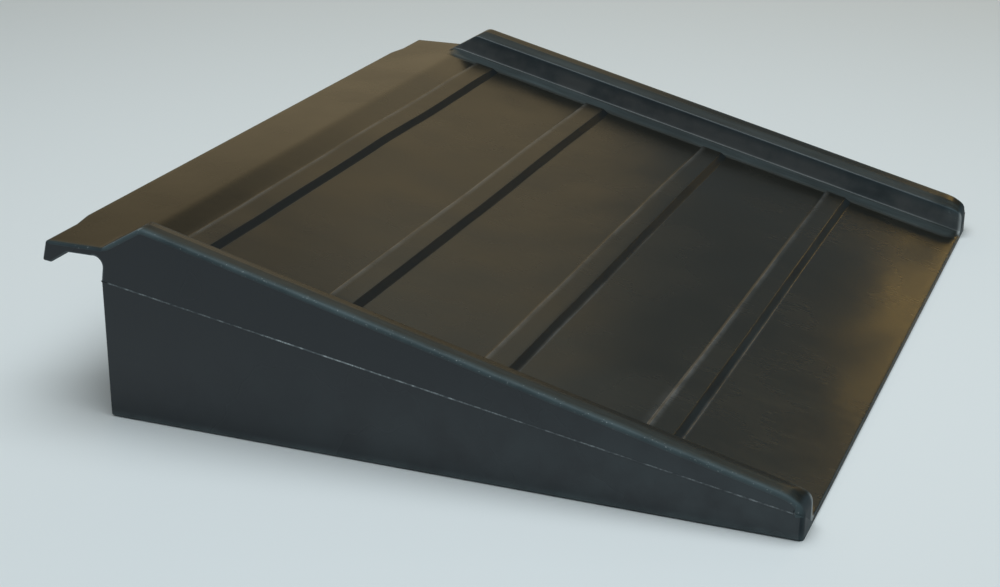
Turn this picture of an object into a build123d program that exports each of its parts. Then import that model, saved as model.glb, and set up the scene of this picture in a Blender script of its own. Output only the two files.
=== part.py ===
from build123d import *

import os
from math import hypot, radians, tan

# Hollow polyethylene loading ramp that hooks over the rim of a low spill pallet.
# Millimetres, +Z up. The origin is on the floor, under the middle of the ramp's outline.
# +X runs down the ramp to its toe and Y runs across it: left is -Y, right is +Y.

# Overall size
width = 1280.0  # across the side walls, at the seam
ramp_run = 990.0  # back wall to toe
hook_reach = 100.0  # back wall to the tip of the hook
lip_top = 252.0  # platform and hook lip, above the floor
deck_slope = 0.2526  # rise over run
toe_thickness = 7.5
wall = 5.0
draft = tan(radians(1.0))  # the side walls lean in, away from the seam

half = width / 2
back_x = hook_reach - (ramp_run + hook_reach) / 2
toe_x = back_x + ramp_run

# Seam between the two mould halves, a straight line on each side wall
seam_back_z = 205.0
seam_slope = 0.1715
seam_step = 2.0  # the upper back wall overhangs the lower one

# Kerbs, with a margin strip inside each
kerb_height = 47.0
kerb_ridge = 27.0  # from the side wall to the ridge on top of the kerb
kerb_ridge_height = 46.0
kerb_shoulder = 50.5
kerb_shoulder_height = 39.5
kerb_foot = 53.5
kerb_edge_radius = 4.0
kerb_shoulder_radius = 3.5
kerb_start = 3.0  # from the back wall
kerb_peak = 65.0  # from the back wall
kerb_peak_radius = 18.0
kerb_nose_radius = 30.0
nose_corner_radius = 10.0  # upright corners of the noses
nose_back_x = toe_x - 12.0  # from here on the seam runs level
strip_edge = 99.0
strip_height = 3.0
strip_root = 5.0  # the strip reaches this far into the deck, and down to the platform
strip_corner_radius = 28.0
strip_inset = 5.0  # from the back wall
base_radius = 5.0  # round the foot of the walls

# Raised cross bars on the deck, from the back wall
bar_starts = [70.0, 290.0, 518.0, 750.0]
bar_width = 49.0
bar_length = 1082.0  # from strip to strip
bar_height = 6.0
bar_taper = 45.0
bar_corner_radius = 10.0

# Hook lip
lip_thickness = 13.0
hook_drop = 31.0
hook_tip = 13.0
hook_lean = 7.0
hook_root = 40.0  # from the back wall to where the hook starts
throat_lean = 4.5  # the back wall leans in by this from the seam up to the lip
end_setback = 7.0  # the hook stands back by this near its two ends
setback_start = 79.0  # from the side wall
setback_stop = 117.0
hook_tip_radius = 3.0
throat_radius = 14.0

# Support posts, five in a row under each cross bar
post_pitch = 224.0
posts_per_row = 5
post_top_radius = 23.0
post_draft = 0.10  # radius gained for each millimetre down
post_wall = 5.0
post_mouth_radius = 2.5

# Trimmed seam bead
bead_height = 3.0
bead_proud = 1.2
bead_root = 1.0
bead_inset = 11.0  # the beads stop this short of the corners

# Vent plug in the back wall
plug_z = 112.0
vent_radius = 6.1
plug_seat = 2.2  # depth of the flat that its head sits on
plug_head_radius = 12.0
plug_head_height = 2.5
plug_shank_radius = 6.0
plug_grip = 6.5  # head to barb, a little more than the wall there
plug_barb_radius = 7.2
plug_length = 14.0

deck_cos = 1 / hypot(1, deck_slope)
wall_down = wall / deck_cos  # the deck's thickness, measured straight down
platform_end = toe_x - (lip_top - toe_thickness) / deck_slope
lip_under = lip_top - lip_thickness
clear = 60.0  # how far a cutting tool runs past the ramp


def deck_z(x):
    return toe_thickness + deck_slope * (toe_x - x)


def seam_z(x):
    return seam_back_z - seam_slope * (x - back_x)


def plane_down(slope, x, z):
    """Plane across the ramp that looks down a slope, its own Y along the slope's normal."""
    length = hypot(1, slope)
    return Plane(origin=(x, 0, z), x_dir=(0, 1, 0), z_dir=(1 / length, 0, -slope / length))


def along_deck(x):
    """Distance from the toe along the deck, negative uphill."""
    return (x - toe_x) / deck_cos


def envelope_points(inset):
    """Space between the drafted side walls, as (across, along the seam's normal)."""
    reach = 330.0
    edge = half - inset
    far_edge = edge - reach * draft
    right = [(far_edge, reach), (edge, 0), (far_edge, -reach)]
    return right + [(-y, n) for y, n in reversed(right)]


def kerb_outline_points(inset):
    """Side view of a kerb: platform, peak, nose and down to the floor."""
    start = back_x + kerb_start + inset
    peak = back_x + kerb_peak
    front = toe_x - inset
    return [
        (start, inset),
        (start, lip_top - inset),
        (peak, deck_z(peak) + kerb_height - inset),
        (front, deck_z(front) + kerb_height - inset),
        (front, inset),
    ]


def hook_points(setback):
    """Side view of the hook, from its root on the lip plate round its tip and back."""
    outer = back_x - hook_reach + setback
    return [
        (back_x - hook_root, lip_top),
        (outer + hook_lean, lip_top),
        (outer, lip_top - hook_drop + 1.5),
        (outer + hook_tip, lip_top - hook_drop),
        (outer + hook_tip + 28, lip_under),
        (back_x - hook_root, lip_under),
    ]


slant_start = back_x - 2 * clear
slant_length = ramp_run + 4 * clear
across_deck = plane_down(deck_slope, slant_start, deck_z(slant_start))
across_seam = plane_down(seam_slope, slant_start, seam_z(slant_start))
on_deck = Plane(
    origin=(toe_x, 0, toe_thickness),
    x_dir=(deck_cos, 0, -deck_slope * deck_cos),
    z_dir=(deck_slope * deck_cos, 0, deck_cos),
)

# ------------------------------------------------ outer form of the moulding, before it is hollowed
with BuildPart() as kerbs:
    kerb_section = [
        (0, -clear),
        (0, kerb_height),
        (kerb_ridge, kerb_ridge_height),
        (kerb_shoulder, kerb_shoulder_height),
        (kerb_foot, 0),
        (kerb_foot, -clear),
    ]
    with BuildSketch(across_deck):
        with BuildLine():
            Polyline([(half - w, h * deck_cos) for w, h in kerb_section], close=True)
        make_face()
        fillet(vertices().sort_by(Axis.Y)[-1], kerb_edge_radius)
        shoulder = vertices().sort_by_distance(
            (half - kerb_shoulder, kerb_shoulder_height * deck_cos, 0)
        )[0]
        fillet(shoulder, kerb_shoulder_radius)
        mirror(about=Plane.YZ)
    extrude(amount=slant_length)
    with BuildSketch(Plane.XZ):
        with BuildLine():
            Polyline(kerb_outline_points(0), close=True)
        make_face()
        fillet(vertices().sort_by(Axis.Y)[-1], kerb_peak_radius)
        fillet(vertices().group_by(Axis.X)[-1].sort_by(Axis.Y)[-1], kerb_nose_radius)
    extrude(amount=half + clear, both=True, mode=Mode.INTERSECT)

with BuildPart() as strips:
    strip_start = along_deck(back_x + strip_inset)
    strip_end = along_deck(toe_x - 2)
    with BuildSketch(on_deck) as strip_plan:
        for side in (1, -1):
            with Locations(((strip_start + strip_end) / 2, side * (half - strip_edge / 2 - 20))):
                Rectangle(strip_end - strip_start, strip_edge - 40)
        inner = vertices().filter_by(lambda v: abs(v.Y) < half - strip_edge + 1)
        fillet(inner, strip_corner_radius)
    extrude(amount=strip_height * deck_cos, taper=30)
    extrude(strip_plan.sketch, amount=-strip_root)

with BuildPart() as bars:
    with BuildSketch(on_deck):
        for start in bar_starts:
            with Locations((along_deck(back_x + start + bar_width / 2), 0)):
                Rectangle(bar_width / deck_cos, bar_length)
        fillet(vertices(), bar_corner_radius)
    extrude(amount=bar_height, taper=bar_taper)

with BuildPart() as hook_zone:
    set_back_x = back_x - hook_reach + hook_lean + end_setback
    front_x = set_back_x - end_setback
    with BuildSketch(Plane.XY):
        with BuildLine():
            Polyline(
                (back_x - hook_root, half - setback_start),
                (set_back_x, half - setback_start),
                (front_x, half - setback_stop),
                (back_x - hook_reach - clear, half - setback_stop),
                (back_x - hook_reach - clear, 0),
                (back_x - hook_root, 0),
                close=True,
            )
        make_face()
        mirror(about=Plane.XZ)
    extrude(amount=lip_top + clear)

with BuildPart() as hook_middle:
    with BuildSketch(Plane.XZ):
        with BuildLine():
            Polyline(hook_points(0), close=True)
        make_face()
        fillet(vertices().group_by(Axis.Y)[0], hook_tip_radius)
    extrude(amount=half, both=True)
    add(hook_zone.part, mode=Mode.INTERSECT)

with BuildPart() as hook:
    with BuildSketch(Plane.XZ):
        with BuildLine():
            Polyline(hook_points(end_setback), close=True)
        make_face()
        fillet(vertices().group_by(Axis.Y)[0], hook_tip_radius)
    extrude(amount=half, both=True)
    add(hook_zone.part, mode=Mode.SUBTRACT)
    add(hook_middle.part)

with BuildPart() as nose_corners:
    with BuildSketch(Plane.XY):
        with Locations((toe_x - ramp_run, 0)):
            Rectangle(2 * ramp_run, width)
        fillet(vertices().group_by(Axis.X)[-1], nose_corner_radius)
    extrude(amount=lip_top + clear)

with BuildPart() as outer_form:
    with BuildSketch(Plane.XZ):
        with BuildLine():
            Polyline(
                (back_x, 0),
                (toe_x, 0),
                (toe_x, toe_thickness),
                (platform_end, lip_top),
                (back_x - hook_root, lip_top),
                (back_x - hook_root, lip_under),
                (back_x + throat_lean, lip_under),
                (back_x, seam_back_z),
                (back_x + seam_step, seam_back_z - seam_step),
                close=True,
            )
        make_face()
        throat = vertices().sort_by_distance((back_x + throat_lean, lip_under, 0))[0]
        fillet(throat, throat_radius)
    extrude(amount=half, both=True)
    add(hook.part)
    add(kerbs.part)
    add(strips.part)
    add(bars.part)
    add(nose_corners.part, mode=Mode.INTERSECT)
    with BuildSketch(across_seam):
        with BuildLine():
            Polyline(envelope_points(0), close=True)
        make_face()
    extrude(amount=slant_length, mode=Mode.INTERSECT)
    base_edges = edges().group_by(Axis.Z)[0]
    fillet(base_edges.filter_by(lambda e: e.center().X < toe_x - 30), base_radius)

# ------------------------------------------------ the hollow inside it
with BuildPart() as kerb_cores:
    core_section = [
        (wall, -clear),
        (wall, kerb_height - wall),
        (kerb_ridge - 1, kerb_ridge_height - wall),
        (kerb_shoulder - wall, kerb_shoulder_height - wall),
        (kerb_foot - wall, 0),
        (kerb_foot - wall, -clear),
    ]
    with BuildSketch(across_deck):
        with BuildLine():
            Polyline([(half - w, h * deck_cos) for w, h in core_section], close=True)
        make_face()
        mirror(about=Plane.YZ)
    extrude(amount=slant_length)
    with BuildSketch(Plane.XZ):
        with BuildLine():
            Polyline(kerb_outline_points(wall), close=True)
        make_face()
        fillet(vertices().group_by(Axis.X)[-1].sort_by(Axis.Y)[-1], kerb_nose_radius - wall)
    extrude(amount=half, both=True, mode=Mode.INTERSECT)

with BuildPart() as core:
    core_front = toe_x - (2 * wall + 1 - toe_thickness) / deck_slope
    with BuildSketch(Plane.XZ):
        with BuildLine():
            Polyline(
                (back_x + wall + seam_step, wall),
                (core_front, wall),
                (core_front, deck_z(core_front) - wall_down),
                (platform_end, lip_top - wall_down),
                (back_x + wall + throat_lean, lip_top - wall_down),
                close=True,
            )
        make_face()
    extrude(amount=half - wall, both=True)
    add(kerb_cores.part)
    with BuildSketch(across_seam):
        with BuildLine():
            Polyline(envelope_points(wall), close=True)
        make_face()
    extrude(amount=slant_length, mode=Mode.INTERSECT)

# ------------------------------------------------ trimmed bead along the seam
with BuildPart() as side_beads:
    with BuildSketch(across_seam):
        with Locations((half + (bead_proud - bead_root) / 2, 0)):
            Rectangle(bead_proud + bead_root, bead_height)
        mirror(about=Plane.YZ)
    extrude(amount=slant_length)
    with BuildSketch(Plane.XZ):
        with Locations(((back_x + toe_x) / 2, 0)):
            Rectangle(toe_x - back_x - 2 * bead_inset, 2 * lip_top)
    extrude(amount=half + clear, both=True, mode=Mode.INTERSECT)

with BuildPart() as seam_flash_back:
    with BuildSketch(Plane.XZ):
        with Locations((back_x + (bead_root - bead_proud) / 2, seam_back_z)):
            Rectangle(bead_proud + bead_root, bead_height)
    extrude(amount=half - bead_inset, both=True)

# ------------------------------------------------ everything below the seam
with BuildPart() as below_seam:
    leave_x = back_x + 400  # from here to the toe the parting runs just under the deck
    with BuildSketch(Plane.XZ):
        with BuildLine():
            Polyline(
                (back_x - 2 * bead_proud, -clear),
                (toe_x + clear, -clear),
                (toe_x + clear, toe_thickness / 2),
                (toe_x, toe_thickness / 2),
                (core_front + 5, wall + 1),
                (leave_x, seam_z(leave_x)),
                (back_x - 2 * bead_proud, seam_z(back_x)),
                close=True,
            )
        make_face()
    extrude(amount=half + clear, both=True)
    with BuildSketch(Plane.XZ.offset(half - wall - 1)):
        with BuildLine():
            Polyline(
                (back_x, -clear),
                (nose_back_x, -clear),
                (nose_back_x, seam_z(nose_back_x)),
                (back_x, seam_z(back_x)),
                close=True,
            )
        make_face()
    extrude(amount=wall + 1 + clear)
    with BuildSketch(Plane.YZ.offset(nose_back_x)):
        with BuildLine():
            Polyline(
                (-half - clear, -clear),
                (-half - clear, seam_z(nose_back_x)),
                (-half, seam_z(nose_back_x)),
                (-half + kerb_foot, toe_thickness / 2),
                (-half + kerb_foot, -clear),
                close=True,
            )
        make_face()
    extrude(amount=clear)
    mirror(about=Plane.XZ)

# ------------------------------------------------ support posts
def post_height(start):
    """Floor to the deck's underside, on the uphill side of a post's top."""
    x = back_x + start + bar_width / 2
    return deck_z(x) - wall_down + deck_slope * post_top_radius


def post_places(start):
    x = back_x + start + bar_width / 2
    first = -(posts_per_row - 1) / 2
    return [(x, (first + i) * post_pitch) for i in range(posts_per_row)]


def post_cone(tall, inset, height, mode=Mode.ADD):
    """Cone up from the floor, inset from the face of a post of that full height."""
    foot_radius = post_top_radius + post_draft * tall - inset
    top_radius = foot_radius - post_draft * height
    Cone(foot_radius, top_radius, height, align=(Align.CENTER, Align.CENTER, Align.MIN), mode=mode)


with BuildPart() as post_forms:
    for start in bar_starts:
        tall = post_height(start)
        with Locations(*post_places(start)):
            post_cone(tall, 0, tall)
    split(bisect_by=on_deck.offset(-wall), keep=Keep.BOTTOM)

post_rows = []
for start in bar_starts:
    tall = post_height(start)
    with BuildPart() as row:
        with Locations(*post_places(start)):
            post_cone(tall, 0, tall)
            post_cone(tall, post_wall, tall - 2 * deck_slope * post_top_radius - post_wall, Mode.SUBTRACT)
        split(bisect_by=on_deck.offset(-wall), keep=Keep.BOTTOM)
        mouths = edges().filter_by(GeomType.CIRCLE).group_by(Axis.Z)[0]
        fillet(mouths.group_by(SortBy.RADIUS)[0], post_mouth_radius)
    post_rows.append(row)

# ------------------------------------------------ vent plug and its hole
plug_seat_plane = Plane(origin=(back_x + plug_seat, 0, plug_z), x_dir=(0, 1, 0), z_dir=(1, 0, 0))

with BuildPart() as vent_hole:
    with BuildSketch(plug_seat_plane):
        Circle(vent_radius)
    extrude(amount=plug_length)
    with BuildSketch(plug_seat_plane):
        Circle(plug_head_radius + 1)
    extrude(amount=-clear)

with BuildPart() as vent_plug:
    with BuildSketch(Plane(origin=(back_x + plug_seat, 0, plug_z), x_dir=(1, 0, 0), z_dir=(0, -1, 0))):
        with BuildLine():
            Polyline(
                (-plug_head_height, 0),
                (-plug_head_height, plug_head_radius - 1.5),
                (-plug_head_height + 1.5, plug_head_radius),
                (0, plug_head_radius),
                (0, plug_shank_radius),
                (plug_grip, plug_shank_radius),
                (plug_grip + 1, plug_barb_radius),
                (plug_length, plug_shank_radius - 1),
                (plug_length, 0),
                close=True,
            )
        make_face()
    revolve(axis=Axis((back_x, 0, plug_z), (1, 0, 0)))

# ------------------------------------------------ the two shells
with BuildPart() as upper_shell:
    add(outer_form.part)
    add(core.part, mode=Mode.SUBTRACT)
    add(below_seam.part, mode=Mode.SUBTRACT)
    add(side_beads.part, mode=Mode.SUBTRACT)
    add(seam_flash_back.part, mode=Mode.SUBTRACT)

with BuildPart() as lower_shell:
    add(outer_form.part)
    add(core.part, mode=Mode.SUBTRACT)
    add(below_seam.part, mode=Mode.INTERSECT)
    add(side_beads.part, mode=Mode.SUBTRACT)
    add(seam_flash_back.part, mode=Mode.SUBTRACT)
    add(post_forms.part, mode=Mode.SUBTRACT)
    add(vent_hole.part, mode=Mode.SUBTRACT)

with BuildPart() as seam_flash_left:
    add(side_beads.part)
    split(bisect_by=Plane.XZ, keep=Keep.TOP)

with BuildPart() as seam_flash_right:
    add(side_beads.part)
    split(bisect_by=Plane.XZ, keep=Keep.BOTTOM)

# ------------------------------------------------ write every piece
pieces = {
    "upper_shell": upper_shell.part,
    "lower_shell": lower_shell.part,
    "seam_flash_left": seam_flash_left.part,
    "seam_flash_right": seam_flash_right.part,
    "seam_flash_back": seam_flash_back.part,
    "vent_plug": vent_plug.part,
}
for number, row in enumerate(post_rows, start=1):
    pieces[f"support_posts_row_{number}"] = row.part

os.makedirs("parts", exist_ok=True)
for name, piece in pieces.items():
    piece.label = name
    export_step(piece, f"parts/{name}.step")
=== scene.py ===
"""Looks of the hollow polyethylene loading ramp: moulded skin, seam flash, materials, studio and camera.

Metres, in the row frame: +Z up, +X down the ramp to its toe, left is -Y.
"""

import math

import bmesh
import bpy
from mathutils import Matrix, Vector, noise
from mathutils.geometry import tessellate_polygon


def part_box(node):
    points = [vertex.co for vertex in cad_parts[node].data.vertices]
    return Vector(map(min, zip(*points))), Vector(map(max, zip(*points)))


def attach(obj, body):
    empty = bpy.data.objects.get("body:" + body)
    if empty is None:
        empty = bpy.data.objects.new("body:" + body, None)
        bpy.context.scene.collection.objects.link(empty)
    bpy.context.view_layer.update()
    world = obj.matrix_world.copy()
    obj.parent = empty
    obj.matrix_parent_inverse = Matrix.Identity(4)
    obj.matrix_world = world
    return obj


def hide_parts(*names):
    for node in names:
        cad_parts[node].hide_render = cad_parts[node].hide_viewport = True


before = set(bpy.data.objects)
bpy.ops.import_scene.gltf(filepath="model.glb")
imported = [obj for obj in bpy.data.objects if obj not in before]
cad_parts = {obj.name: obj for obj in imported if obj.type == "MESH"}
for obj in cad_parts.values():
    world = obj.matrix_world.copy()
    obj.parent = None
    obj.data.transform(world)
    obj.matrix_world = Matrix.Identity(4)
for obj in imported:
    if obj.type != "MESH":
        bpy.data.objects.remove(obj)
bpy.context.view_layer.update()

# ------------------------------------------------ places and sizes
SHELL_LOW, SHELL_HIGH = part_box("upper_shell")
BACK_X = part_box("lower_shell")[0].x
TOE_X = SHELL_HIGH.x
HOOK_X = SHELL_LOW.x
HALF = SHELL_HIGH.y

LIP_TOP = 0.252
LIP_THICKNESS = 0.013
DECK_SLOPE = 0.2526
LIP_BLEND = 0.0018  # reach of the easy turn between platform and deck
TOE_THICKNESS = 0.0075
TOE_EDGE = 0.0018  # radius of the toe's upper edge
DRAFT = math.tan(math.radians(1.0))
SEAM_BACK_Z = 0.205
SEAM_SLOPE = 0.1715
EDGE_RADIUS = 0.004

KERB_HEIGHT = 0.04699
KERB_START = BACK_X + 0.003
KERB_PEAK = BACK_X + 0.065
PEAK_RADIUS = 0.018
NOSE_RADIUS = 0.030
NOSE_CORNER = 0.010
NOSE_BLEND = 0.012
NOSE_X = TOE_X - 0.0006
KERB_RIDGE = 0.027
RIDGE_DROP = 0.001
SHOULDER_DROP = 0.0075
KERB_SHOULDER = 0.0505
KERB_FOOT = 0.0535
KERB_CLEAR = 0.060  # from the side wall to where the plain deck starts
FRONT_ROWS = 10  # rows of the skin down the nose's front
TOE_ROWS = 7  # of these, the ones that round the toe's upper edge on the deck

STRIP_EDGE = 0.099
STRIP_STEP = 0.014  # width of the easy step at its edge
STRIP_HEIGHT = 0.0026
STRIP_CORNER = 0.028
STRIP_START = BACK_X + 0.005
STRIP_END = TOE_X - 0.002

BAR_STARTS = [BACK_X + start for start in (0.070, 0.290, 0.518, 0.750)]
BAR_WIDTH = 0.049
BAR_RISE = 0.005  # run of its uphill face
BAR_FALL = 0.009  # run of its downhill face
BAR_HEIGHT = 0.006
BAR_INSET = 0.092  # from the side wall to a bar's end, on the strip's edge
BAR_FADE = 0.008

HOOK_DROP = 0.031
HOOK_LEAN = 0.007
HOOK_TIP = 0.013
HOOK_ROOT = BACK_X - 0.040
TIP_RADIUS = 0.003
THROAT_RADIUS = 0.014
THROAT_LEAN = 0.0045
SETBACK = 0.007
SETBACK_START = 0.079
SETBACK_STOP = 0.117

SAG_BROAD = 0.0022
SAG_SMALL = 0.0006

PARTING_Z = TOE_THICKNESS / 2
SKIN = 0.001
BEAD_PROUD = 0.0009
BEAD_ROOT = 0.0009
BEAD_HALF_HEIGHT = 0.0012
REBATE = 0.00148  # half the height of the groove that the flash fills
NOSE_FLASH = 0.012  # run of the seam's last, level stretch at the nose

KERB_SCUFF_SHEEN = {-1: (1.0, 0.0), 1: (0.15, 0.6)}  # scuffing of the left and right kerbs with painted cool sheen: top, inner facet
LEFT_EDGE_WEAR_AND_HIGHLIGHT = 1.9  # wear and painted highlight of the left kerb's outer edge, over that of the other edges
BROW_HIGHLIGHT = 0.55  # painted highlight on the bars' uphill faces, 1 at the last bar's left end
FLAT = 1  # material index that marks the faces of a plane wall while a mesh is built
SMOOTH_ANGLE = 38  # degrees between faces, over which an edge is sharp
BEAD_ANGLE = 5
JOIN = 0.00004  # points closer than this are one

CAMERA_PLACE = (0.9617, -2.7317, 1.1339)
CAMERA_ANGLES = (-21.381, 21.001, 0.270)  # degrees: heading from +Y, downward tilt, roll
LENS = 69.066  # mm, on a sensor that is 36 mm wide


def deck_z(x):
    return TOE_THICKNESS + DECK_SLOPE * (TOE_X - x)


def seam_z(x):
    return SEAM_BACK_Z - SEAM_SLOPE * (x - BACK_X)


def side_seam(x):
    """The seam on a side wall, level over its last stretch at the nose."""
    return seam_z(min(x, NOSE_X - NOSE_FLASH))


def side_point(x, z, side):
    """A point of a side wall, which leans in away from the seam."""
    return Vector((x, side * (HALF - DRAFT * abs(z - seam_z(x))), z))


def smooth(value, start, stop):
    """0 before start, 1 after stop, with an even turn between them."""
    t = min(max((value - start) / (stop - start), 0.0), 1.0)
    return t * t * (3 - 2 * t)


def bevel(value, start, stop):
    """0 before start, 1 after stop, with a straight face between them and small rounds at its edges."""
    turn = 0.15
    t = (value - start) / (stop - start)
    if t > 0.5:
        return 1 - bevel(1 - t, 0.0, 1.0) if t < 1 + turn else 1.0
    if t > turn:
        return t
    return (t + turn) ** 2 / (4 * turn) if t > -turn else 0.0


def soft_min(a, b, blend):
    gap = max(blend - abs(a - b), 0.0) / blend
    return min(a, b) - gap * gap * blend / 4


def steps(start, stop, count):
    """count values from start up to, and without, stop."""
    return [start + (stop - start) * i / count for i in range(count)]


# ------------------------------------------------ side outline of the ramp: (x, z, outward normal, kind)
def arc(centre, radius, start, stop, count, kind):
    """Points of an arc from one angle to another, in degrees from +X. A negative radius is a hollow one."""
    rows = []
    for i in range(count + 1):
        angle = math.radians(start + (stop - start) * i / count)
        normal = (math.cos(angle), math.sin(angle))
        rows.append((centre[0] + radius * normal[0], centre[1] + radius * normal[1], normal, kind))
    return rows


def run(a, b, count, kind):
    """Points along a straight stretch, without its two ends. Its outward normal is on the left."""
    length = math.dist(a, b)
    normal = (-(b[1] - a[1]) / length, (b[0] - a[0]) / length)
    rows = []
    for i in range(1, count):
        t = i / count
        rows.append((a[0] + (b[0] - a[0]) * t, a[1] + (b[1] - a[1]) * t, normal, kind))
    return rows


def corner(before, point, after, radius, count, kind):
    """Arc that rounds a corner of the outline."""
    a = (Vector(before) - Vector(point)).normalized()
    b = (Vector(after) - Vector(point)).normalized()
    half_angle = a.angle(b) / 2
    centre = Vector(point) + (a + b).normalized() * radius / math.sin(half_angle)
    convex = a.x * b.y - a.y * b.x > 0
    sign = 1 if convex else -1
    first = sign * (Vector(point) + a * radius / math.tan(half_angle) - centre)
    last = sign * (Vector(point) + b * radius / math.tan(half_angle) - centre)
    start = math.degrees(math.atan2(first.y, first.x))
    stop = math.degrees(math.atan2(last.y, last.x))
    while stop - start > 180:
        stop -= 360
    while stop - start < -180:
        stop += 360
    return arc(centre, sign * radius, start, stop, count, kind)


def outline_rows():
    """Rows of the skin, from the seam on the back wall, round the hook, over the ramp to the nose."""
    under = LIP_TOP - LIP_THICKNESS
    tip_z = LIP_TOP - HOOK_DROP
    back_foot = (BACK_X, SEAM_BACK_Z)
    throat = (BACK_X + THROAT_LEAN, under)
    crook = (HOOK_X + HOOK_TIP + 0.028, under)
    tip_in = (HOOK_X + HOOK_TIP, tip_z)
    tip_out = (HOOK_X, tip_z + 0.0015)
    brow = (HOOK_X + HOOK_LEAN, LIP_TOP)
    kerb_foot = (KERB_START, LIP_TOP)
    peak = (KERB_PEAK, deck_z(KERB_PEAK) + KERB_HEIGHT)
    nose = (NOSE_X, deck_z(NOSE_X) + KERB_HEIGHT)
    floor = (NOSE_X, 0.0)

    rows = [(back_foot[0], back_foot[1], (-1.0, 0.0), "wall")]
    points = [back_foot, throat, crook, tip_in, tip_out, brow, kerb_foot]
    radii = [0, THROAT_RADIUS, 0.006, TIP_RADIUS, TIP_RADIUS, 0.0035, 0]
    counts = [0, 9, 5, 5, 5, 6, 0]
    kinds = ["wall", "wall", "hook", "hook", "hook", "hook", "lip"]
    spans = [5, 5, 5, 3, 5, 14]
    for i in range(1, len(points) - 1):
        turn = corner(points[i - 1], points[i], points[i + 1], radii[i], counts[i], kinds[i])
        rows += run(rows[-1][:2], turn[0][:2], spans[i - 1], kinds[i]) + turn
    rows += run(rows[-1][:2], kerb_foot, spans[-1], "lip")
    rows.append((kerb_foot[0], kerb_foot[1], (0.0, 1.0), "lip"))

    crest = corner(kerb_foot, peak, nose, PEAK_RADIUS, 9, "kerb")
    front = corner(peak, nose, floor, NOSE_RADIUS, 12, "nose")
    rise = run(kerb_foot, crest[0][:2], 12, "kerb")
    rows += rise + crest
    normal = crest[-1][2]
    for x in slope_stations(crest[-1][0], front[0][0]):
        rows.append((x, deck_z(x) + KERB_HEIGHT, normal, "kerb"))
    rows += front
    start, stop = front[-1][1], PARTING_Z
    for i in range(1, FRONT_ROWS + 1):
        rows.append((NOSE_X, start + (stop - start) * i / FRONT_ROWS, (1.0, 0.0), "front"))
    return rows


def slope_stations(start, stop):
    """Places along the slope, close together across the faces of each cross bar."""
    margin = 0.0015
    marks = []
    for bar in BAR_STARTS:
        fall = bar + BAR_WIDTH - BAR_FALL
        marks += steps(bar - margin, bar + BAR_RISE + margin, 11)
        marks += steps(bar + BAR_RISE + margin, fall - margin, 5)
        marks += steps(fall - margin, bar + BAR_WIDTH + margin, 16)
        marks += steps(bar + BAR_WIDTH + margin, bar + BAR_WIDTH + 0.006, 3)
    marks = [start] + [x for x in marks if start + 0.004 < x < stop - 0.004] + [stop]
    stations = []
    for a, b in zip(marks, marks[1:]):
        stations += steps(a, b, max(1, math.ceil((b - a) / 0.010)))
    return stations[1:]


# ------------------------------------------------ across the ramp
def rounded_profile(points):
    """Section line through (across, up, radius) points, with arcs at its corners."""
    line = [points[0][:2]]
    for before, point, after in zip(points, points[1:], points[2:]):
        rows = corner(before[:2], point[:2], after[:2], point[2], 5, "")
        line += [row[:2] for row in rows]
    line.append(points[-1][:2])
    return line


def columns():
    """Columns from a side wall to the middle: (across, height above the deck, inset of the outline)."""
    found = []
    for i in range(7):
        angle = math.radians(90 * i / 6)
        across = EDGE_RADIUS * (1 - math.cos(angle))
        inset = EDGE_RADIUS * (1 - math.sin(angle))
        found.append((across, KERB_HEIGHT - inset, inset))
    shoulder = KERB_HEIGHT - SHOULDER_DROP
    profile = rounded_profile(
        [
            (0.008, KERB_HEIGHT, 0),
            (KERB_RIDGE, KERB_HEIGHT - RIDGE_DROP, 0.010),
            (KERB_SHOULDER, shoulder, 0.0035),
            (KERB_FOOT - 0.0005, STRIP_HEIGHT, 0.0035),
            (KERB_CLEAR, STRIP_HEIGHT, 0),
        ]
    )
    for a, b in zip(profile, profile[1:]):
        count = max(1, math.ceil(math.dist(a, b) / 0.007))
        for across, up in zip(steps(a[0], b[0], count), steps(a[1], b[1], count)):
            found.append((across, up, 0.0))
    spans = ((KERB_CLEAR, 0.084, 5), (0.084, 0.103, 19), (0.103, 0.121, 6), (0.121, HALF, 30))
    for start, stop, count in spans:
        found += [(across, None, 0.0) for across in steps(start, stop, count)]
    return found


def base_z(x):
    """Platform and deck, with an easy turn between them."""
    return soft_min(LIP_TOP, deck_z(x), LIP_BLEND)


def strip_share(x, across):
    """1 on a margin strip, 0 off it, from the distance to its rounded outline."""
    middle = (STRIP_START + STRIP_END) / 2
    reach = (STRIP_END - STRIP_START) / 2
    dx = abs(x - middle) - (reach - STRIP_CORNER)
    dy = across - (STRIP_EDGE - STRIP_CORNER)
    outside = math.hypot(max(dx, 0), max(dy, 0)) + min(max(dx, dy), 0) - STRIP_CORNER
    return 1 - smooth(outside, -STRIP_STEP, 0.0)


def bar_share(x, across):
    share = 0.0
    for bar in BAR_STARTS:
        rise = bevel(x, bar, bar + BAR_RISE)
        fall = 1 - bevel(x, bar + BAR_WIDTH - BAR_FALL, bar + BAR_WIDTH)
        share = max(share, min(rise, fall))
    return share * smooth(across, BAR_INSET, BAR_INSET + BAR_FADE)


def sag(x, y):
    """Slow unevenness that a hollow moulded deck has."""
    broad = noise.noise(Vector((x * 5.0, y * 4.0, 0.3)))
    small = noise.noise(Vector((x * 13, y * 11, 2.0)))
    return SAG_BROAD * broad + SAG_SMALL * small


def nose_end(across):
    """Where a kerb's nose ends, rounded at its outer upright corner."""
    short = max(NOSE_CORNER - across, 0.0)
    return NOSE_X - NOSE_CORNER + math.sqrt(NOSE_CORNER**2 - short**2)


def front_parting(across):
    """Height of the parting on the nose, from the seam down to the toe."""
    share = min(across / KERB_FOOT, 1.0)
    return side_seam(NOSE_X) * (1 - share) + PARTING_Z * share


def setback(across):
    return SETBACK * (1 - min(max((across - SETBACK_START) / (SETBACK_STOP - SETBACK_START), 0.0), 1.0))


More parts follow.
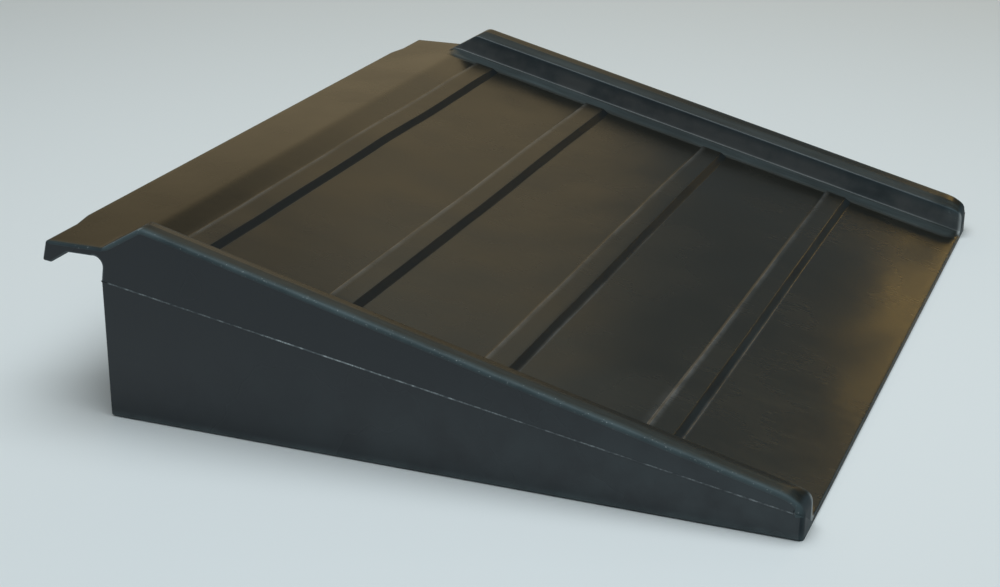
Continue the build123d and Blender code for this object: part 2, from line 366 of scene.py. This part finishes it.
def kerb_point(row, across, up, inset):
    x, z, normal, kind = row
    x -= normal[0] * inset
    z -= normal[1] * inset
    top = deck_z(x) + KERB_HEIGHT
    section = base_z(x) + up * (top - base_z(x)) / KERB_HEIGHT
    blend = NOSE_BLEND * smooth(x, NOSE_X - NOSE_RADIUS, NOSE_X - 0.010)
    z = soft_min(z, section, blend) if blend > 0 else min(z, section)
    x = min(x, nose_end(across))
    if kind == "front":
        return x, max(z, front_parting(across))
    return x, max(z, base_z(x) + STRIP_HEIGHT * strip_share(x, across) * smooth(up, 0.012, 0.006))


def deck_point(row, across, y, turn):
    """A point of the deck. The rows of the nose's front go round the toe's edge: turn counts them."""
    x = min(row[0], NOSE_X - TOE_EDGE)
    raise_by = max(STRIP_HEIGHT * strip_share(x, across), BAR_HEIGHT * bar_share(x, across))
    along = smooth(TOE_X - x, 0.0, 0.08) * smooth(x, BACK_X - 0.02, BACK_X + 0.12)
    z = base_z(x) + raise_by + sag(x, y) * smooth(across, KERB_CLEAR, 0.12) * along
    if turn is None:
        return x, z
    if turn <= TOE_ROWS:
        angle = math.radians(90 * turn / TOE_ROWS)
        return x + TOE_EDGE * math.sin(angle), z - TOE_EDGE * (1 - math.cos(angle))
    last = FRONT_ROWS - 1
    return x + TOE_EDGE, PARTING_Z + (z - TOE_EDGE - PARTING_Z) * (last - turn) / (last - TOE_ROWS)


def skin_grid():
    """Vertices of the upper skin as rows of points, with its two seams' columns first and last."""
    half_columns = columns()
    middle = (HALF, None, 0.0)
    order = [(c, -1) for c in half_columns] + [(middle, 1)] + [(c, 1) for c in reversed(half_columns)]
    rows = outline_rows()
    first_front = next(i for i, row in enumerate(rows) if row[3] == "front")
    grid = []
    for i, row in enumerate(rows):
        line = []
        for (across, up, inset), side in order:
            kind = row[3]
            if kind in ("kerb", "nose", "front") and up is not None:
                x, z = kerb_point(row, across, up, inset)
            elif kind in ("kerb", "nose", "front"):
                turn = i - first_front if kind == "front" else None
                x, z = deck_point(row, across, side * (HALF - across), turn)
            else:
                x, z = lip_point(row, across, inset if across < EDGE_RADIUS else 0.0)
            lean = DRAFT * abs(z - seam_z(x)) * (1 - smooth(across, EDGE_RADIUS, 0.028))
            line.append(Vector((x, side * (HALF - across - lean), z)))
        grid.append(line)
    return grid, order, rows


def lip_point(row, across, inset):
    """A point of the back wall, hook or lip, with the hook's ends set back."""
    x, z, normal, kind = row
    if kind == "hook":
        inset *= 0.6
    x -= normal[0] * inset
    z -= normal[1] * inset
    share = 1.0 if kind == "hook" else smooth(HOOK_ROOT - x, -0.001, HOOK_ROOT - HOOK_X)
    return x + setback(across) * share, z


# ------------------------------------------------ meshes
def link(name, mesh):
    piece = bpy.data.objects.new(name, mesh)
    bpy.context.scene.collection.objects.link(piece)
    return piece


def finish_mesh(bm, name, sharp_angle=SMOOTH_ANGLE):
    """Object from a bmesh, smooth except on its plane walls and at its sharp and open edges."""
    bmesh.ops.remove_doubles(bm, verts=bm.verts, dist=JOIN)
    bmesh.ops.dissolve_degenerate(bm, edges=bm.edges, dist=JOIN / 2)
    for face in bm.faces:
        face.smooth = face.material_index != FLAT
        face.material_index = 0
    for edge in bm.edges:
        if len(edge.link_faces) != 2 or edge.calc_face_angle() > math.radians(sharp_angle):
            edge.smooth = False
    mesh = bpy.data.meshes.new(name)
    bm.to_mesh(mesh)
    bm.free()
    return link(name, mesh)


def add_side_wall(bm, rim, rows, side):
    """Side wall from the skin's rim down to the seam, and the end of the hook."""
    ring = []
    for vert, (x, z, normal, kind) in zip(rim, rows):
        margin = 0.003 if kind in ("kerb", "nose", "front") else 0.0003
        x = vert.co.x - normal[0] * margin
        z = max(vert.co.z - normal[1] * margin, side_seam(x))
        ring.append(bm.verts.new(side_point(x, z, side)))
    for a, b, c, d in zip(rim, rim[1:], ring[1:], ring):
        bm.faces.new((a, b, c, d)[::side])
    first = next(i for i, row in enumerate(rows) if row[3] == "kerb") + 3
    lines = []
    for vert in ring[first:]:
        seam = side_seam(vert.co.x)
        heights = [vert.co.z + (seam - vert.co.z) * i / 5 for i in range(1, 6)]
        lines.append([vert] + [bm.verts.new(side_point(vert.co.x, z, side)) for z in heights])
    for a, b in zip(lines, lines[1:]):
        for j in range(len(a) - 1):
            bm.faces.new((a[j], b[j], b[j + 1], a[j + 1])[::side]).material_index = FLAT
    plate = ring[:first] + lines[0]
    for corners in tessellate_polygon([[Vector((vert.co.x, vert.co.z, 0)) for vert in plate]]):
        a, b, c = (plate[i] for i in corners)
        outward = (b.co - a.co).cross(c.co - a.co).y * side
        bm.faces.new((a, b, c) if outward > 0 else (c, b, a)).material_index = FLAT


def bar_brow_highlight(x, y, across):
    """Painted highlight along the bars' uphill faces, most at the last bar's left end."""
    bands = []
    for bar in BAR_STARTS:
        left_boost = smooth(y, -0.10, -0.50) if bar == BAR_STARTS[-1] else 0.0
        away = abs(x - bar - BAR_RISE + 0.002 * left_boost)
        bands.append((BROW_HIGHLIGHT + (1 - BROW_HIGHLIGHT) * left_boost) * (1 - smooth(away, 0.0010 + 0.002 * left_boost, 0.0055)))
    return max(bands) * smooth(across, BAR_INSET, STRIP_EDGE + 0.02)


def dust_line(x):
    """1 in the crease below each of the last two cross bars, where dust gathers."""
    return max(1 - smooth(abs(x - bar - BAR_WIDTH - 0.0005), 0.0005, 0.003) for bar in BAR_STARTS[2:])


def torn_share(kind, x, across):
    """1 where the nose's front is scraped white along its inner edge, less on a kerb's rear incline."""
    if kind == "kerb" and x < KERB_PEAK:
        return 0.45 * smooth(across, 0.002, 0.004) * smooth(across, 0.011, 0.008)
    if kind not in ("nose", "front"):
        return 0.0
    face = smooth(x, NOSE_X - 0.006, NOSE_X - 0.001)
    beside = smooth(across, 0.040, 0.050) * smooth(across, 0.068, 0.056)
    return face * beside


def wear_and_light_marks(kind, point, across, on_kerb, side):
    """Wear and painted light at a point of the skin, by the names that its material reads.

    Scuffing with painted cool sheen (rub), scuffed edges with painted highlight (edge), pale lines of dust
    and painted light (line), scraped white (torn), lost shine (dull).
    """
    x, y = point.x, point.y
    marks = {"scuff_sheen": 0.0, "line": 0.0, "dull": 0.0, "torn": torn_share(kind, x, across)}
    if on_kerb:
        off_ridge = smooth(across, KERB_RIDGE - 0.003, KERB_RIDGE + 0.004)
        # kerb tops and inner facets: scuffing with painted cool sheen, strongest on the left kerb's top
        flat, facet = KERB_SCUFF_SHEEN[side]
        flat *= smooth(x, NOSE_X - 0.006, NOSE_X - 0.024)
        flat *= 1 - 0.4 * smooth(across, 0.006, 0.014)
        marks["scuff_sheen"] = flat * (1 - off_ridge) + facet * off_ridge
        # painted light: the kerb's inner wall is painted paler, standing in for the front light it would
        # catch
        face = smooth(across, KERB_SHOULDER, KERB_SHOULDER + 0.001)
        marks["line"] = 0.7 * face * smooth(across, KERB_FOOT + 0.001, KERB_FOOT)
        near_nose = smooth(x, NOSE_X - 0.070, NOSE_X - 0.035)
        marks["dull"] = 1.0 if side < 0 else max(0.5 * (1 - off_ridge), near_nose)
    elif kind in ("kerb", "nose"):
        # margin strips: scuffing with painted cool sheen
        marks["scuff_sheen"] = strip_share(x, across)
        # pale dust in the crease below the last two bars, and the bars' painted uphill highlight
        gathered = dust_line(x) * smooth(y, 0.45, -0.45)
        marks["line"] = max(0.5 * gathered, bar_brow_highlight(x, y, across))
    at_nose = kind in ("nose", "front")
    inner = max(1 - abs(across - KERB_SHOULDER) / 0.004, 0.0) if at_nose else 0.0
    # rounded edges: scuffing with painted highlight, stronger on the left kerb's outer edge
    left_boost = LEFT_EDGE_WEAR_AND_HIGHLIGHT if on_kerb and side < 0 else 1.0
    marks["edge"] = left_boost * max(1 - smooth(across, 0.0, EDGE_RADIUS * 2.5), inner)
    return marks


def build_skin():
    grid, order, rows = skin_grid()
    bm = bmesh.new()
    layers = {name: bm.verts.layers.float.new(name) for name in ("scuff_sheen", "edge", "line", "torn", "dull")}
    points = []
    for (_, _, _, kind), places in zip(rows, grid):
        made = []
        for ((across, up, _), side), point in zip(order, places):
            vert = bm.verts.new(point)
            on_kerb = kind in ("kerb", "nose", "front") and up is not None
            for name, value in wear_and_light_marks(kind, point, across, on_kerb, side).items():
                vert[layers[name]] = value
            made.append(vert)
        points.append(made)
    for a, b in zip(points, points[1:]):
        for j in range(len(a) - 1):
            bm.faces.new((a[j], b[j], b[j + 1], a[j + 1]))
    for column, side in ((0, -1), (-1, 1)):
        add_side_wall(bm, [line[column] for line in points], rows, side)
    skin = finish_mesh(bm, "upper_skin")
    shell = skin.modifiers.new("thickness", "SOLIDIFY")
    shell.thickness = SKIN
    shell.offset = -1
    return skin


def ragged(place, scale, seed):
    """Uneven value between 0 and 1 along a seam."""
    return min(max(0.5 + 0.7 * noise.noise(Vector((place * scale, seed, 0.4))), 0.0), 1.0)


def build_bead(name, start, stop, out, seed):
    """Trimmed flash along a seam: a thin ragged ridge between two ends, standing out of the wall."""
    bm = bmesh.new()
    white = bm.verts.layers.float.new("white")
    start, stop, out = Vector(start), Vector(stop), Vector(out)
    count = math.ceil((stop - start).length / 0.0022)
    rings = []
    for i in range(count + 1):
        place = (stop - start).length * i / count
        slow, quick = ragged(place, 11.0, seed), ragged(place, 190.0, seed + 3)
        proud = BEAD_PROUD * (0.15 + 0.55 * slow + 0.3 * quick)
        slow, quick = ragged(place, 17.0, seed + 5), ragged(place, 240.0, seed + 7)
        tall = BEAD_HALF_HEIGHT * (0.30 + 0.35 * slow + 0.35 * quick)
        tip = 0.4 * tall * (2 * ragged(place, 120.0, seed + 9) - 1)
        whitest = smooth(place, 0.18, 0.30) * smooth(place, 0.56, 0.42)
        torn = 0.22 + 0.30 * ragged(place, 23.0, seed + 11) + 0.48 * whitest
        centre = start.lerp(stop, i / count)
        section = [
            (-BEAD_ROOT, -REBATE, 0.0),
            (0.0001, -REBATE, 0.0),
            (0.0001, -tall, 0.3),
            (0.6 * proud, -0.5 * tall, 1.0),
            (proud, tip, 1.0),
            (0.3 * proud, 0.7 * tall, 1.0),
            (0.0001, tall, 1.0),
            (0.0001, REBATE, 0.0),
            (-BEAD_ROOT, REBATE, 0.0),
        ]
        ring = []
        for away, up, whiteness in section:
            vert = bm.verts.new(centre + out * away + Vector((0, 0, up)))
            vert[white] = whiteness * torn
            ring.append(vert)
        rings.append(ring)
    for a, b in zip(rings, rings[1:]):
        for j in range(len(a)):
            k = (j + 1) % len(a)
            bm.faces.new((a[j], a[k], b[k], b[j]))
    bm.faces.new(rings[0])
    bm.faces.new(rings[-1])
    bmesh.ops.recalc_face_normals(bm, faces=bm.faces)
    return finish_mesh(bm, name, BEAD_ANGLE)


def build_beads():
    """Name of each seam node, with the ragged bead that takes its place."""
    beads = {}
    for name, side in (("seam_flash_left", -1), ("seam_flash_right", 1)):
        low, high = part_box(name)
        ends = [(x, side * HALF, seam_z(x)) for x in (low.x, high.x)]
        beads[name] = build_bead(name + "_bead", ends[0], ends[1], (0, side, 0), 4.0 + side)
    low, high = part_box("seam_flash_back")
    z = (low.z + high.z) / 2
    beads["seam_flash_back"] = build_bead(
        "seam_flash_back_bead", (BACK_X, low.y, z), (BACK_X, high.y, z), (-1, 0, 0), 9.0
    )
    return beads


# ------------------------------------------------ materials
def new_material(name):
    material = bpy.data.materials.new(name)
    material.use_nodes = True
    tree = material.node_tree
    tree.nodes.clear()
    output = tree.nodes.new("ShaderNodeOutputMaterial")
    shader = tree.nodes.new("ShaderNodeBsdfPrincipled")
    tree.links.new(shader.outputs["BSDF"], output.inputs["Surface"])
    return material, tree, shader


class Nodes:
    """Short ways to add the nodes that the materials share."""

    def __init__(self, tree):
        self.tree = tree
        self.place = tree.nodes.new("ShaderNodeTexCoord").outputs["Object"]

    def link(self, source, socket):
        if hasattr(source, "links"):
            self.tree.links.new(source, socket)
        else:
            socket.default_value = source

    def stretched(self, scale):
        node = self.tree.nodes.new("ShaderNodeMapping")
        node.inputs["Scale"].default_value = scale
        self.tree.links.new(self.place, node.inputs["Vector"])
        return node.outputs["Vector"]

    def noise(self, scale, detail=3.0, rough=0.5, stretch=None, shift=0.0):
        node = self.tree.nodes.new("ShaderNodeTexNoise")
        node.noise_dimensions = "4D"
        node.inputs["W"].default_value = shift
        node.inputs["Scale"].default_value = scale
        node.inputs["Detail"].default_value = detail
        node.inputs["Roughness"].default_value = rough
        vector = self.stretched(stretch) if stretch else self.place
        self.tree.links.new(vector, node.inputs["Vector"])
        return node.outputs["Fac"]

    def math(self, kind, a, b=0.0, clamp=False):
        node = self.tree.nodes.new("ShaderNodeMath")
        node.operation = kind
        node.use_clamp = clamp
        self.link(a, node.inputs[0])
        self.link(b, node.inputs[1])
        return node.outputs[0]

    def times(self, a, b):
        return self.math("MULTIPLY", a, b)

    def ramp(self, value, low, high, to_low=0.0, to_high=1.0):
        node = self.tree.nodes.new("ShaderNodeMapRange")
        node.interpolation_type = "SMOOTHSTEP"
        self.link(value, node.inputs["Value"])
        node.inputs["From Min"].default_value = low
        node.inputs["From Max"].default_value = high
        node.inputs["To Min"].default_value = to_low
        node.inputs["To Max"].default_value = to_high
        return node.outputs["Result"]

    def mix(self, share, a, b):
        node = self.tree.nodes.new("ShaderNodeMix")
        node.data_type = "RGBA"
        self.link(share, node.inputs["Factor"])
        self.link(a, node.inputs[6])
        self.link(b, node.inputs[7])
        return node.outputs[2]

    def axis(self, name):
        node = self.tree.nodes.new("ShaderNodeSeparateXYZ")
        self.tree.links.new(self.place, node.inputs[0])
        return node.outputs[name]

    def facing(self, name):
        node = self.tree.nodes.new("ShaderNodeNewGeometry")
        split = self.tree.nodes.new("ShaderNodeSeparateXYZ")
        self.tree.links.new(node.outputs["Normal"], split.inputs[0])
        return split.outputs[name]

    def attribute(self, name):
        node = self.tree.nodes.new("ShaderNodeAttribute")
        node.attribute_name = name
        return node.outputs["Fac"]

    def bump(self, heights):
        """Bump from (height, distance) pairs, one on top of the other."""
        normal = None
        for height, distance in heights:
            node = self.tree.nodes.new("ShaderNodeBump")
            node.inputs["Strength"].default_value = 1.0
            node.inputs["Distance"].default_value = distance
            self.tree.links.new(height, node.inputs["Height"])
            if normal is not None:
                self.tree.links.new(normal, node.inputs["Normal"])
            normal = node.outputs["Normal"]
        return normal


PE_BLACK = (0.0110, 0.0158, 0.0205, 1)
# painted warm light: the base of faces that look up
PE_TOP_PAINTED_WARM = (0.0052, 0.0046, 0.0022, 1)
PE_DUST = (0.050, 0.041, 0.022, 1)
PE_MARK = (0.105, 0.096, 0.066, 1)
# bluish scuff colour, also used for painted cool sheen and painted edge highlight
PE_SCUFF_AND_SHEEN = (0.085, 0.116, 0.124, 1)
# pale colour for dust lines, and for painted light and painted highlight
PE_DUST_AND_PAINTED_LIGHT = (0.135, 0.130, 0.125, 1)
PE_WHITE = (0.42, 0.44, 0.44, 1)
FLASH_GREY = (0.110, 0.130, 0.140, 1)
FLASH_WHITE = (0.62, 0.67, 0.69, 1)
PLUG_DARK = (0.015, 0.015, 0.016, 1)
PLUG_DUSTY = (0.035, 0.034, 0.032, 1)
FLOOR_PAPER = (0.82, 0.82, 0.82, 1)


def polyethylene(name, with_skin_marks):
    """Black moulded polyethylene: satin, faintly pebbled, dusty on top, scuffed along the slope, with
    painted warm light on faces that look up and painted sheen and highlights among the skin's marks.
    """
    material, tree, shader = new_material(name)
    n = Nodes(tree)
    up = n.ramp(n.facing("Z"), 0.55, 0.95)
    front = n.ramp(n.facing("X"), 0.29, 0.58)
    cloud = n.noise(3.2, 5.0, 0.62)
    smudge = n.noise(11.0, 5.0, 0.60, shift=4.0)
    speck = n.noise(420.0, 2.0, 0.5, shift=7.0)
    streak = n.noise(16.0, 5.0, 0.7, stretch=(0.35, 9.0, 3.0), shift=1.0)
    scratch = n.noise(60.0, 3.0, 0.6, stretch=(0.25, 14.0, 6.0), shift=2.0)

    # dust on what faces up, more of it towards the toe
    dust = n.times(n.times(n.ramp(cloud, 0.32, 0.80), n.ramp(streak, 0.32, 0.78)), up)
    toe = n.times(n.ramp(n.axis("X"), BACK_X + 0.55, TOE_X), n.ramp(streak, 0.45, 0.75))
    dust = n.math("ADD", n.times(dust, 0.12), n.times(n.times(toe, up), 0.25), True)
    # painted light: faces that look up get a darker, warm brown base instead of the bluish black
    colour = n.mix(dust, n.mix(up, PE_BLACK, PE_TOP_PAINTED_WARM), PE_DUST)

    # fine scratches, grit, and drag marks before the toe
    fine = n.times(n.ramp(scratch, 0.68, 0.80), n.ramp(smudge, 0.45, 0.65))
    colour = n.mix(n.times(fine, 0.14), colour, PE_MARK)
    grit = n.times(n.ramp(speck, 0.66, 0.74), n.ramp(cloud, 0.35, 0.65))
    colour = n.mix(n.times(n.times(grit, up), 0.22), colour, PE_MARK)
    drag = n.times(n.ramp(scratch, 0.54, 0.70), n.ramp(n.axis("X"), TOE_X - 0.30, TOE_X - 0.02))
    colour = n.mix(n.times(n.times(drag, up), 0.25), colour, PE_MARK)

    # paler bluish tone low on the walls, in smudges and more of it towards the toe, and wear along their
    # foot
    low_wall_tone = n.times(n.ramp(n.axis("Z"), 0.20, 0.0), n.ramp(smudge, 0.25, 0.65))
    low_wall_tone = n.times(low_wall_tone, n.ramp(n.axis("X"), BACK_X, TOE_X, 0.06, 0.30))
    colour = n.mix(n.times(low_wall_tone, n.math("SUBTRACT", 1.0, up)), colour, PE_SCUFF_AND_SHEEN)
    wear = n.math("SUBTRACT", n.ramp(smudge, 0.30, 0.60, 0.25, 0.8), up, True)
    wear = n.times(n.ramp(n.axis("Z"), 0.014, 0.001), wear)
    colour = n.mix(n.times(wear, 0.65), colour, PE_SCUFF_AND_SHEEN)

    # rougher and duller on faces that look downhill; the lip shines less towards its left end
    patch = n.noise(3.2, 1.0, 0.4)
    rough = n.math("ADD", n.ramp(patch, 0.25, 0.75, 0.23, 0.265), n.times(dust, 0.10))
    rough = n.math("ADD", rough, n.ramp(n.noise(9.0, 2.0, 0.4, shift=4.0), 0.25, 0.80, -0.02, 0.05))
    gloss = n.ramp(front, 0.0, 1.0, 0.45, 0.12)
    lip = n.times(n.ramp(n.axis("X"), BACK_X + 0.085, BACK_X + 0.055), up)
    gloss = n.math("SUBTRACT", gloss, n.times(lip, n.ramp(n.axis("Y"), HALF, -HALF, -0.12, 0.30)))
    if with_skin_marks:
        colour = wear_and_light_colour(n, colour, cloud, smudge, speck, streak)
        rough = n.math("ADD", rough, n.times(n.attribute("scuff_sheen"), 0.25))
        gloss = n.times(gloss, n.ramp(n.attribute("dull"), 0.0, 1.0, 1.0, 0.35))
    rough = n.math("ADD", rough, n.times(front, 0.25))

    n.link(colour, shader.inputs["Base Color"])
    n.link(rough, shader.inputs["Roughness"])
    n.link(gloss, shader.inputs["Specular IOR Level"])
    shader.inputs["IOR"].default_value = 1.50
    pebble = n.noise(650.0, 2.0, 0.5, shift=3.0)
    ripple = n.noise(38.0, 2.0, 0.5, shift=5.0)
    n.link(n.bump([(ripple, 0.00018), (pebble, 0.000012)]), shader.inputs["Normal"])
    return material


def wear_and_light_colour(n, colour, cloud, smudge, speck, streak):
    """The colour with the skin's marks of wear and painted light laid over it."""
    # scuffing with painted cool sheen
    scuff_sheen = n.times(n.attribute("scuff_sheen"), n.ramp(streak, 0.25, 0.75, 0.35, 1.0))
    scuff_sheen = n.times(scuff_sheen, n.ramp(cloud, 0.25, 0.7, 0.6, 1.0))
    colour = n.mix(n.times(scuff_sheen, 0.55), colour, PE_SCUFF_AND_SHEEN)
    # scuffed edges with painted highlight
    edge = n.times(n.attribute("edge"), n.ramp(smudge, 0.30, 0.65, 0.3, 1.0))
    colour = n.mix(n.times(edge, 0.45), colour, PE_SCUFF_AND_SHEEN)
    chip = n.times(n.attribute("edge"), n.ramp(speck, 0.66, 0.72))
    colour = n.mix(n.times(chip, 0.5), colour, PE_WHITE)
    # pale lines: dust in creases, and painted light on the kerbs' inner walls and the bars' uphill faces
    crease = n.times(n.attribute("line"), n.ramp(smudge, 0.35, 0.6, 0.3, 1.0))
    colour = n.mix(n.times(crease, 0.8), colour, PE_DUST_AND_PAINTED_LIGHT)
    scraped = n.times(n.attribute("torn"), n.ramp(smudge, 0.25, 0.55))
    return n.mix(n.times(scraped, 0.8), colour, PE_WHITE)


def flash_material():
    """Trimmed flash: the same plastic, torn white where the knife stressed it."""
    material, tree, shader = new_material("trimmed_flash")
    n = Nodes(tree)
    torn = n.noise(90.0, 4.0, 0.65)
    fine = n.noise(500.0, 3.0, 0.6, shift=2.0)
    share = n.times(n.ramp(torn, 0.40, 0.62), n.ramp(fine, 0.30, 0.60))
    ridge = n.attribute("white")
    colour = n.mix(ridge, PE_BLACK, FLASH_GREY)
    n.link(n.mix(n.times(share, ridge), colour, FLASH_WHITE), shader.inputs["Base Color"])
    n.link(n.ramp(fine, 0.3, 0.7, 0.35, 0.65), shader.inputs["Roughness"])
    n.link(n.bump([(fine, 0.0001)]), shader.inputs["Normal"])
    return material


def plug_material():
    material, tree, shader = new_material("plug_plastic")
    n = Nodes(tree)
    cloud = n.noise(140.0, 3.0, 0.55)
    colour = n.mix(n.ramp(cloud, 0.35, 0.7), PLUG_DARK, PLUG_DUSTY)
    n.link(colour, shader.inputs["Base Color"])
    n.link(n.ramp(cloud, 0.3, 0.7, 0.38, 0.6), shader.inputs["Roughness"])
    n.link(n.bump([(n.noise(900.0), 0.00008)]), shader.inputs["Normal"])
    return material


# ------------------------------------------------ studio
def make_floor():
    bm = bmesh.new()
    bmesh.ops.create_grid(bm, x_segments=1, y_segments=1, size=14.0)
    floor = finish_mesh(bm, "floor")
    material, _, shader = new_material("floor_paper")
    shader.inputs["Base Color"].default_value = FLOOR_PAPER
    shader.inputs["Roughness"].default_value = 0.85
    floor.data.materials.append(material)


def area_light(name, place, target, size, watts, colour):
    data = bpy.data.lights.new(name, "AREA")
    data.shape = "RECTANGLE"
    data.size, data.size_y = size
    data.energy = watts
    data.color = colour
    lamp = bpy.data.objects.new(name, data)
    bpy.context.scene.collection.objects.link(lamp)
    lamp.location = place
    lamp.rotation_euler = (Vector(target) - Vector(place)).to_track_quat("-Z", "Y").to_euler()


def make_lights():
    world = bpy.data.worlds.new("studio")
    bpy.context.scene.world = world
    world.use_nodes = True
    background = world.node_tree.nodes["Background"]
    background.inputs["Color"].default_value = (0.74, 0.88, 0.92, 1)
    background.inputs["Strength"].default_value = 0.20
    area_light("overhead", (0.2, -0.4, 4.2), (0, 0, 0), (4.0, 4.0), 160, (0.86, 0.96, 1.0))
    area_light("warm_back", (-2.5, 4.9, 2.1), (-0.2, 0.1, 0.1), (4.0, 2.9), 16.0, (1.0, 0.66, 0.22))
    area_light("golden_back", (1.2, 5.2, 1.85), (0.4, 0.3, 0.1), (0.65, 1.0), 8.0, (1.0, 0.62, 0.14))
    area_light("cool_back", (0.3, 5.0, 4.2), (0.1, 0.0, 0.1), (3.6, 1.2), 6.0, (0.88, 1.0, 0.93))


def make_camera():
    heading, tilt, roll = (math.radians(angle) for angle in CAMERA_ANGLES)
    level = math.cos(tilt)
    forward = Vector((math.sin(heading) * level, math.cos(heading) * level, -math.sin(tilt)))
    right = forward.cross(Vector((0, 0, 1))).normalized()
    down = forward.cross(right)
    across = math.cos(roll) * right - math.sin(roll) * down
    below = math.sin(roll) * right + math.cos(roll) * down
    data = bpy.data.cameras.new("camera")
    data.sensor_width = 36.0
    data.lens = LENS
    data.clip_start = 0.1
    data.clip_end = 60.0
    camera = bpy.data.objects.new("camera", data)
    bpy.context.scene.collection.objects.link(camera)
    turn = Matrix((across, -below, -forward)).transposed().to_4x4()
    camera.matrix_world = Matrix.Translation(CAMERA_PLACE) @ turn
    bpy.context.scene.camera = camera


# ------------------------------------------------ put it together
def paint(piece, material):
    piece.data.materials.clear()
    piece.data.materials.append(material)


scene = bpy.context.scene
scene.view_settings.view_transform = "Standard"

skin = build_skin()
paint(skin, polyethylene("black_polyethylene_skin", True))
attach(skin, "root")
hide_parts("upper_shell")

flash = flash_material()
for name, bead in build_beads().items():
    paint(bead, flash)
    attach(bead, "root")
    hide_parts(name)

cast = polyethylene("black_polyethylene_body", False)
plug = plug_material()
for name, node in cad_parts.items():
    if name == "upper_shell" or name.startswith("seam_flash"):
        continue
    paint(node, plug if name == "vent_plug" else cast)

make_floor()
make_lights()
make_camera()
